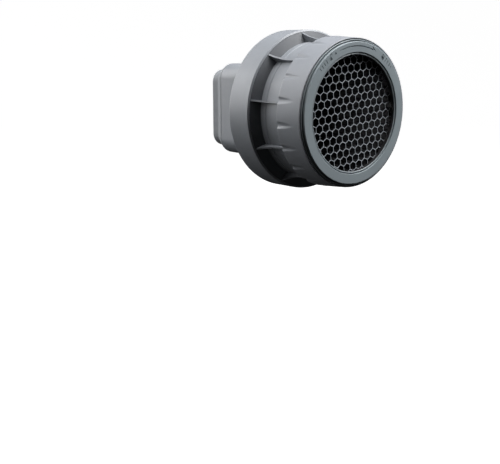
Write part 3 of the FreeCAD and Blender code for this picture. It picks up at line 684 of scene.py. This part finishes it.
def make_honeycomb():
    """Full cells with chamfered pale edges, then cut round to the disc."""
    chance = random.Random(JITTER_SEED)
    corner_shift = {}
    verts, faces, kinds = [], [], []
    index = {}

    def vertex(x, y, height):
        key = (round(x, 3), round(y, 3), round(height, 3))
        if key not in index:
            index[key] = len(verts)
            verts.append(place(x, y, height))
        return index[key]

    def shifted(x, y):
        """A lattice corner moved a little, the same for every cell that shares it."""
        key = (round(x, 1), round(y, 1))
        for near_x in (-SAME_CORNER, 0.0, SAME_CORNER):
            for near_y in (-SAME_CORNER, 0.0, SAME_CORNER):
                close = (round(key[0] + near_x, 1), round(key[1] + near_y, 1))
                if close in corner_shift:
                    return corner_shift[close]
        corner_shift[key] = (x + chance.uniform(-CELL_JITTER, CELL_JITTER),
                             y + chance.uniform(-CELL_JITTER, CELL_JITTER))
        return corner_shift[key]

    cells = honeycomb_cells(CORE_RADIUS + CELL_PITCH)
    node_radius = CELL_PITCH / math.sqrt(3)
    side_cells = {}
    for centre in cells.values():
        corners = []
        for k in range(6):
            angle = math.radians(30 + 60 * k + ROW_ANGLE)
            corners.append(shifted(centre[0] + node_radius * math.cos(angle),
                                   centre[1] + node_radius * math.sin(angle)))
        middle = (sum(c[0] for c in corners) / 6, sum(c[1] for c in corners) / 6)

        def inwards(share):
            return [(middle[0] + (c[0] - middle[0]) * share,
                     middle[1] + (c[1] - middle[1]) * share) for c in corners]

        hole = inwards(1 - CELL_WALL / CELL_PITCH)
        crest = inwards(1 - (CELL_WALL - 2 * CELL_CHAMFER) / CELL_PITCH)
        levels = [
            (corners, CORE_FRONT, 0), (crest, CORE_FRONT, 0),
            (hole, CORE_FRONT - CELL_CHAMFER, 0), (hole, CORE_REAR, 1), (corners, CORE_REAR, 1),
        ]
        for (upper, upper_height, _), (lower, lower_height, kind) in zip(levels, levels[1:]):
            for k in range(6):
                j = (k + 1) % 6
                faces.append((vertex(*upper[k], upper_height), vertex(*upper[j], upper_height),
                              vertex(*lower[j], lower_height), vertex(*lower[k], lower_height)))
                kinds.append(kind)
        for k in range(6):
            a, b = corners[k], corners[(k + 1) % 6]
            side_cells.setdefault(frozenset((a, b)), []).append((a, b))
    for users in side_cells.values():
        if len(users) == 1:
            a, b = users[0]
            faces.append((vertex(*a, CORE_FRONT), vertex(*b, CORE_FRONT),
                          vertex(*b, CORE_REAR), vertex(*a, CORE_REAR)))
            kinds.append(1)
    core = make_object("honeycomb", (verts, faces), [COMB_EDGE, COMB_WALL])
    for polygon, kind in zip(core.data.polygons, kinds):
        polygon.material_index = kind
    disc = circle(CORE_RADIUS - FINE, DISC_SIDES)
    combine(core, prism(disc, CORE_REAR - CUT_OVER, CORE_FRONT + CUT_OVER), "INTERSECT")
    for polygon in core.data.polygons:
        radius = middle_of(polygon)[0]
        if abs(polygon.normal.y) < WALL_SLOPE or radius > CORE_RADIUS - DISC_SKIN:
            polygon.material_index = 1
    return finish_piece(core, "grid", "honeycomb_core")


# ---------------------------------------------------------------- neck and fins

NECK_REAR = 74.2
NECK_RADIUS = 52.0
NECK_BORE = 49.0
SPIGOT_RADIUS = 50.0
WALL_CREST = 77.2
WALL_SEAT = 71.0
WALL_HEEL = 58.2
WALL_FOOT = 72.4
DRUM_FRONT_RADIUS = 60.9
RIM_RADIUS = 59.5
RIM_GAP = 0.12
BAND_REAR = 80.8
BAND_FRONT = 83.2
BAND_HEIGHT = 0.35
GROOVE_REAR = 100.6
GROOVE_FRONT = 103.0
GROOVE_RADIUS = 50.1
LAND_FRONT = 104.2
LAND_RADIUS = 51.6
NECK_WEB_FRONT = 106.5
NECK_WEB_BORE = 43.0
FIN_COUNT = 10
FIN_ANGLE = 26.4
FIN_THICKNESS = 1.3
FIN_ROOT = 50.4
FIN_CREST = 54.0
FIN_TANGENT = 95.0
FIN_TIP = 59.2
FIN_HEEL = 1.1
FIN_GAP = 0.4
FIN_EDGE = 0.16
FIN_STEPS = 24
CONE_SKIN = 0.15


def wall_height(radius):
    """Height of the cone that closes the drum's front, which rises towards the neck."""
    share = (DRUM_FRONT_RADIUS - radius) / (DRUM_FRONT_RADIUS - NECK_RADIUS)
    return WALL_FOOT + (WALL_CREST - WALL_FOOT) * share


def neck_shape(radius, height, degrees):
    if LUG_REAR - FINE < height < LUG_FRONT + FINE and radius > NECK_BORE + FINE:
        lug = abs(from_nearest(degrees, 0.0, LUG_PITCH)) < LUG_HALF
        return LUG_RADIUS if lug else radius
    return radius


def fin_outline():
    """Fin in its own plane, as (radius, height): straight foot and an arc-shaped crest."""
    rise = FIN_TANGENT - wall_height(FIN_TIP)
    radius = ((FIN_TIP - FIN_CREST) ** 2 + rise ** 2) / (2 * (FIN_TIP - FIN_CREST))
    sweep = math.asin(rise / radius)
    turns = [sweep * k / FIN_STEPS for k in range(FIN_STEPS + 1)]
    crest = [(FIN_CREST + radius * (1 - math.cos(turn)), FIN_TANGENT - radius * math.sin(turn))
             for turn in turns]
    front = SKIRT_REAR - FIN_GAP
    return crest + [(FIN_TIP, wall_height(FIN_TIP) - FIN_HEEL),
                    (FIN_ROOT, WALL_CREST - FIN_HEEL), (FIN_ROOT, front), (FIN_CREST, front)]


def make_fin(degrees):
    """One fin: a thin plate with slightly rounded edges, standing on a ray from the axis."""
    outline = fin_outline()
    centre = (sum(r for r, _ in outline) / len(outline), sum(h for _, h in outline) / len(outline))
    angle = math.radians(degrees)
    out = Vector((math.cos(angle), math.sin(angle)))
    side = Vector((-math.sin(angle), math.cos(angle)))
    rings = []
    half = FIN_THICKNESS / 2
    flat = half - FIN_EDGE
    for offset, inset in ((-half, FIN_EDGE), (-flat, 0.0), (flat, 0.0), (half, FIN_EDGE)):
        ring = []
        for radius, height in outline:
            away = Vector((radius - centre[0], height - centre[1]))
            inner = away.normalized() * inset
            point = out * (radius - inner.x) + side * offset
            ring.append(place(point.x, point.y, height - inner.y))
        rings.append(ring)
    return stack(rings)


def make_fin_collar():
    rim = RIM_RADIUS - RIM_GAP
    section = soften([
        (NECK_BORE, NECK_REAR, 0.2),
        (NECK_RADIUS, NECK_REAR, 0.3),
        (WALL_HEEL, WALL_SEAT, 0.2),
        (rim, WALL_SEAT, 0),
        (rim, wall_height(rim), 0.12),
        (NECK_RADIUS, WALL_CREST, 0.6),
        (NECK_RADIUS, BAND_REAR, 0.15),
        (NECK_RADIUS + BAND_HEIGHT, BAND_REAR + BAND_HEIGHT, 0.2),
        (NECK_RADIUS + BAND_HEIGHT, BAND_FRONT - BAND_HEIGHT, 0.2),
        (NECK_RADIUS, BAND_FRONT, 0.15),
        (NECK_RADIUS, GROOVE_REAR, 0.2),
        (GROOVE_RADIUS, GROOVE_REAR, 0),
        (GROOVE_RADIUS, GROOVE_FRONT, 0),
        (LAND_RADIUS, GROOVE_FRONT, 0.15),
        (LAND_RADIUS, LAND_FRONT, 0.25),
        (SPIGOT_RADIUS, LAND_FRONT, 0),
        (SPIGOT_RADIUS, LUG_REAR - 2 * FINE, 0),
        (SPIGOT_RADIUS, LUG_REAR, 0),
        (SPIGOT_RADIUS, LUG_FRONT, 0),
        (SPIGOT_RADIUS, NECK_FRONT, 0.2),
        (NECK_BORE, NECK_FRONT, 0.2),
        (NECK_BORE, NECK_WEB_FRONT, 0),
        (NECK_WEB_BORE, NECK_WEB_FRONT, 0.2),
        (NECK_WEB_BORE, TUNNEL_FRONT, 0.2),
        (NECK_BORE, TUNNEL_FRONT, 0),
    ])
    neck = lathe(section, neck_shape, PLAIN_TURN_STEPS)
    collar = make_object("neck_and_fins", neck, [HOUSING, CONE_PAINTED_SHADE])
    fins = [make_fin(FIN_ANGLE + 360 / FIN_COUNT * k) for k in range(FIN_COUNT)]
    combine(collar, merge(fins), "UNION")
    # The cone wall's faces get the dark second material, which is painted shade for the recess
    # between drum rim and neck.
    for polygon in collar.data.polygons:
        radius, height = middle_of(polygon)
        if NECK_RADIUS < radius < rim and abs(height - wall_height(radius)) < CONE_SKIN:
            polygon.material_index = 1
    return finish_piece(collar, "mount", "fin_collar")


# ---------------------------------------------------------------- drum, tier and boot

DRUM_REAR = 50.0
DRUM_WALL = 2.5
PLATE = 3.0
PLATE_BORE = 20.0
# width, height, corner radius
TIER = (86.0, 71.2, 12.0)
BOOT = (80.4, 61.5, 10.0)
TIER_WALL = 2.8
TIER_FILLET = 1.2
FILLET_STEPS = 5
BOOT_WALL = 2.8
BOOT_STRAIGHT = 7.0
BOOT_LENGTH = 16.0
BOOT_STEPS = 28
BOOT_ROLL = 1.3
ROLL_STEPS = 6
SPIGOT_GAP = 0.1
BOOT_SEAM_REACH = 0.35
# inset, distance from the seam between boot and tier
BOOT_SEAM_EDGE = ((0.12, 0.1), (0.4, 0.0))
TIER_SEAM_EDGE = ((0.35, 0.0), (0.1, 0.1), (0.0, 0.35))
# flare, height
MOUTH_EDGE = ((0.0, 0.9), (0.25, 0.25), (0.8, 0.0))
SHELF_REAR, SHELF_FRONT = 25.0, 28.0
CORNER_STEPS = 12
SIDE_STEPS = 10


def rounded_rectangle(width, height, corner):
    """Points round a rounded rectangle, always the same number in the same order."""
    points = []
    half_w, half_h = width / 2 - corner, height / 2 - corner
    centres = ((half_w, half_h, 0), (-half_w, half_h, 90), (-half_w, -half_h, 180),
               (half_w, -half_h, 270))
    for k, (x, y, start) in enumerate(centres):
        for step in range(CORNER_STEPS + 1):
            angle = math.radians(start + 90 * step / CORNER_STEPS)
            points.append((x + corner * math.cos(angle), y + corner * math.sin(angle)))
        next_x, next_y = centres[(k + 1) % 4][:2]
        angle = math.radians(start + 90)
        side_start = points[-1]
        side_end = (next_x + corner * math.cos(angle), next_y + corner * math.sin(angle))
        for step in range(1, SIDE_STEPS):
            share = step / SIDE_STEPS
            points.append((side_start[0] + (side_end[0] - side_start[0]) * share,
                           side_start[1] + (side_end[1] - side_start[1]) * share))
    return points


def frame_ring(width, height, corner, inset, level):
    outline = rounded_rectangle(width - 2 * inset, height - 2 * inset, max(corner - inset, 0.5))
    return [place(x, y, level) for x, y in outline]


def ease(share):
    share = min(max(share, 0.0), 1.0)
    return share * share * (3 - 2 * share)


def boot_size(height):
    """Outer width, height and corner radius of the boot at a height along the light."""
    share = ease((height - BOOT_STRAIGHT) / (BOOT_LENGTH - BOOT_STRAIGHT))
    return [mouth + (seam - mouth) * share for mouth, seam in zip(BOOT, TIER)]


def make_boot():
    """Rubber boot with a rolled mouth, swelling out to the tier in one smooth curve."""
    rings = []
    for step in range(ROLL_STEPS, -1, -1):
        angle = math.pi / 2 * step / ROLL_STEPS
        rings.append(frame_ring(*BOOT, BOOT_ROLL * (1 - math.cos(angle)),
                                BOOT_ROLL * (1 - math.sin(angle))))
    swell = BOOT_LENGTH - BOOT_SEAM_REACH - BOOT_ROLL
    for step in range(1, BOOT_STEPS + 1):
        level = BOOT_ROLL + swell * step / BOOT_STEPS
        rings.append(frame_ring(*boot_size(level), 0, level))
    for inset, behind in BOOT_SEAM_EDGE:
        rings.append(frame_ring(*TIER, inset, BOOT_LENGTH - behind))
    for level in (BOOT_LENGTH, BOOT_FRONT):
        rings.append(frame_ring(*TIER, TIER_WALL + SPIGOT_GAP, level))
    for level in (BOOT_FRONT, BOOT_LENGTH, BOOT_STRAIGHT):
        rings.append(frame_ring(*BOOT, BOOT_WALL, level))
    for flare, level in MOUTH_EDGE:
        rings.append(frame_ring(*BOOT, BOOT_WALL - flare, level))
    boot = make_object("rubber_boot", join_rings(rings), [BOOT_RUBBER])
    return finish_piece(boot, "mount", "boot_sleeve")


def frame_prism(size, inset, rear, front):
    """A closed rounded-rectangle block."""
    return stack([frame_ring(*size, inset, rear), frame_ring(*size, inset, front)])


def make_drum_shell():
    """Drum and rear plate turned as one, with the rectangular tier joined on behind."""
    section = soften([
        (PLATE_BORE, DRUM_REAR, 0),
        (DRUM_RADIUS, DRUM_REAR, 1.4),
        (DRUM_FRONT_RADIUS, WALL_FOOT, 0.35),
        (RIM_RADIUS, wall_height(RIM_RADIUS), 0.12),
        (RIM_RADIUS, WALL_SEAT, 0),
        (DRUM_FRONT_RADIUS - DRUM_WALL, WALL_SEAT, 0),
        (DRUM_RADIUS - DRUM_WALL, DRUM_REAR + PLATE, 1.2),
        (PLATE_BORE, DRUM_REAR + PLATE, 0),
    ])
    drum = make_object("drum_housing", lathe(section, steps=PLAIN_TURN_STEPS), [HOUSING])
    fillet_rear = DRUM_REAR - TIER_FILLET
    rings = [frame_ring(*TIER, inset, BOOT_LENGTH + ahead) for inset, ahead in TIER_SEAM_EDGE]
    for step in range(FILLET_STEPS + 1):
        angle = math.pi / 2 * step / FILLET_STEPS
        rings.append(frame_ring(*TIER, -TIER_FILLET * (1 - math.cos(angle)),
                                fillet_rear + TIER_FILLET * math.sin(angle)))
    rings.append(frame_ring(*TIER, -TIER_FILLET, DRUM_REAR + PLATE / 2))
    combine(drum, stack(rings), "UNION")
    plate_front = DRUM_REAR + PLATE
    for tool in (
        frame_prism(TIER, TIER_WALL, BOOT_LENGTH - CUT_OVER, SHELF_REAR),
        frame_prism(TIER, TIER_WALL, SHELF_FRONT, plate_front + CUT_OVER),
        frame_prism(BOOT, BOOT_WALL, SHELF_REAR - CUT_OVER, SHELF_FRONT + CUT_OVER),
    ):
        combine(drum, tool, "DIFFERENCE")
    return finish_piece(drum, "mount", "drum_shell")


# ---------------------------------------------------------------- light tunnel

TUNNEL_RADIUS = 48.8
TUNNEL_WALL = 2.4
TUNNEL_FLANGE_THICKNESS = 2.5
BAFFLE_STEP = 1.6
BAFFLE_DEPTH = 0.35
BAFFLE_LEAN = 0.1
BAFFLES_FROM_FRONT = 10.0
PLAIN_BORE_LENGTH = 14.0
TUNNEL_TURN_STEPS = 240
BOSS_COUNT = 5
BOSS_RING = 45.6
BOSS_RADIUS = 3.0
BOSS_LENGTH = 9.0
BOSS_SIDES = 24


def make_light_tunnel():
    """Black tube whose bore is stepped with fine baffle threads against stray light."""
    bore = TUNNEL_RADIUS - TUNNEL_WALL
    corners = [
        (bore, TUNNEL_REAR, 0.2),
        (TUNNEL_FLANGE, TUNNEL_REAR, 0),
        (TUNNEL_FLANGE, TUNNEL_REAR + TUNNEL_FLANGE_THICKNESS, 0.4),
        (TUNNEL_RADIUS, TUNNEL_REAR + TUNNEL_FLANGE_THICKNESS, 1.0),
        (TUNNEL_RADIUS, TUNNEL_FRONT, 0.2),
        (bore, TUNNEL_FRONT, 0.2),
    ]
    baffles = int((TUNNEL_FRONT - TUNNEL_REAR - PLAIN_BORE_LENGTH) / BAFFLE_STEP)
    for k in range(baffles):
        level = TUNNEL_FRONT - BAFFLES_FROM_FRONT - k * BAFFLE_STEP
        corners.append((bore, level, 0))
        corners.append((bore + BAFFLE_DEPTH, level - BAFFLE_LEAN, 0))
    tube = lathe(soften(corners), steps=TUNNEL_TURN_STEPS)
    tunnel = make_object("light_tunnel_tube", tube, [BLACK])
    bosses = [prism(circle(BOSS_RADIUS, BOSS_SIDES, x, y), TUNNEL_FRONT - BOSS_LENGTH,
                    TUNNEL_FRONT) for x, y in circle(BOSS_RING, BOSS_COUNT)]
    combine(tunnel, merge(bosses), "UNION")
    return finish_piece(tunnel, "mount", "light_tunnel")


# ---------------------------------------------------------------- CAD nodes that stay

KEPT = {
    "grip_pad_top": PAD,
    "grip_pad_bottom": PAD,
    "grip_pad_left": PAD,
    "grip_pad_right": PAD,
    "boot_frame": BLACK,
    "boot_frame_screws": SCREW,
    "tunnel_screws": SCREW,
    "collar_screws": SCREW,
    "retainer_screws": SCREW,
    "front_seal": FELT,
    "lock_ring": SPRING,
    "core_gasket": FELT,
    "core_retainer": BLACK,
}


def dress_kept_nodes():
    for node, material in KEPT.items():
        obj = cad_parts[node]
        obj.data.materials.clear()
        obj.data.materials.append(material)


# ---------------------------------------------------------------- stage, light and camera

CAMERA_FOCAL = 53.34
SENSOR_WIDTH = 36.0
FACE_CENTRE = place(0, 0, 122.0)
CAMERA_OFFSET = Vector((-0.3996, -0.3803, 0.0397))
CAMERA_AIM = Vector((0.6054, 0.7624, -0.2285))
FLOOR_DROP = 0.34
FLOOR_TONE = 0.80
FLOOR_ROUGHNESS = 0.9
FLOOR_GLOW = 0.96
BOWL_FLAT = 4.0
BOWL_BEND = 2.0
BOWL_HEIGHT = 8.0
BOWL_STEPS = 12
BOWL_SIDES = 96
WORLD_STRENGTH = 0.030
LAMP_DISTANCE = 1.1
LIT_POINT = place(0, 0, 80.0)
LAMP_SIZE = (0.7, 0.7)
# degrees round from the camera (to its right), degrees up, watts
LAMPS = (
    ("left_high", -90, 50, 5.0),
    ("left_low", -90, 15, 2.2),
    ("right_high", 90, 50, 22.5),
    ("left_behind_face", -120, 15, 8.5),
    ("above", 0, 89, 10.0),
)


def floor_material():
    material = bpy.data.materials.new("pale_floor")
    material.use_nodes = True
    shader = material.node_tree.nodes["Principled BSDF"]
    shader.inputs["Base Color"].default_value = (FLOOR_TONE, FLOOR_TONE, FLOOR_TONE, 1.0)
    shader.inputs["Roughness"].default_value = FLOOR_ROUGHNESS
    shader.inputs["Emission Color"].default_value = (1.0, 1.0, 1.0, 1.0)
    shader.inputs["Emission Strength"].default_value = FLOOR_GLOW
    return material


def make_stage():
    """Pale floor that curves up into a round wall. Its light does not fall on the part."""
    level = -FLOOR_DROP
    profile = [(BOWL_FLAT * k / BOWL_STEPS, level) for k in range(1, BOWL_STEPS + 1)]
    for k in range(1, BOWL_STEPS + 1):
        turn = math.pi / 2 * k / BOWL_STEPS
        profile.append((BOWL_FLAT + BOWL_BEND * math.sin(turn),
                        level + BOWL_BEND * (1 - math.cos(turn))))
    profile.append((BOWL_FLAT + BOWL_BEND, level + BOWL_HEIGHT))
    verts = [(0.0, 0.0, level)]
    for radius, height in profile:
        for k in range(BOWL_SIDES):
            turn = 2 * math.pi * k / BOWL_SIDES
            verts.append((radius * math.cos(turn), radius * math.sin(turn), height))
    faces = [(0, 1 + k, 1 + (k + 1) % BOWL_SIDES) for k in range(BOWL_SIDES)]
    for ring in range(len(profile) - 1):
        low, high = 1 + ring * BOWL_SIDES, 1 + (ring + 1) * BOWL_SIDES
        for k in range(BOWL_SIDES):
            after = (k + 1) % BOWL_SIDES
            faces.append((low + k, high + k, high + after, low + after))
    mesh = bpy.data.meshes.new("floor")
    mesh.from_pydata(verts, [], faces)
    for face in mesh.polygons:
        face.use_smooth = True
    floor = bpy.data.objects.new("floor", mesh)
    mesh.materials.append(floor_material())
    bpy.context.scene.collection.objects.link(floor)
    floor.visible_diffuse = False
    floor.visible_glossy = False
    floor.visible_shadow = False


def seen_from_camera(azimuth, elevation):
    """Unit vector to a lamp, turned about the vertical from the camera's side."""
    ahead = Vector((CAMERA_AIM.x, CAMERA_AIM.y, 0.0)).normalized()
    aside = Vector((ahead.y, -ahead.x, 0.0))
    turn, rise = math.radians(azimuth), math.radians(elevation)
    level = aside * math.sin(turn) - ahead * math.cos(turn)
    return level * math.cos(rise) + Vector((0.0, 0.0, math.sin(rise)))


def add_lamp(name, azimuth, elevation, power):
    position = LIT_POINT + seen_from_camera(azimuth, elevation) * LAMP_DISTANCE
    data = bpy.data.lights.new(name, "AREA")
    data.shape = "RECTANGLE"
    data.size, data.size_y = LAMP_SIZE
    data.energy = power
    lamp = bpy.data.objects.new(name, data)
    lamp.location = position
    lamp.rotation_euler = (LIT_POINT - position).to_track_quat("-Z", "Y").to_euler()
    bpy.context.scene.collection.objects.link(lamp)


def make_light():
    world = bpy.data.worlds.new("studio")
    world.use_nodes = True
    background = world.node_tree.nodes["Background"]
    background.inputs["Color"].default_value = (1.0, 1.0, 1.0, 1.0)
    background.inputs["Strength"].default_value = WORLD_STRENGTH
    bpy.context.scene.world = world
    for lamp in LAMPS:
        add_lamp(*lamp)


def make_camera():
    data = bpy.data.cameras.new("camera")
    data.lens = CAMERA_FOCAL
    data.sensor_width = SENSOR_WIDTH
    data.sensor_fit = "HORIZONTAL"
    camera = bpy.data.objects.new("camera", data)
    camera.location = FACE_CENTRE + CAMERA_OFFSET
    camera.rotation_euler = CAMERA_AIM.to_track_quat("-Z", "Y").to_euler()
    bpy.context.scene.collection.objects.link(camera)
    bpy.context.scene.camera = camera


make_grid_shell()
make_trim_ring()
make_face_bezel()
make_lip_ring()
make_honeycomb()
make_fin_collar()
make_boot()
make_drum_shell()
make_light_tunnel()
dress_kept_nodes()
make_stage()
make_light()
make_camera()
bpy.context.scene.view_settings.view_transform = "Standard"
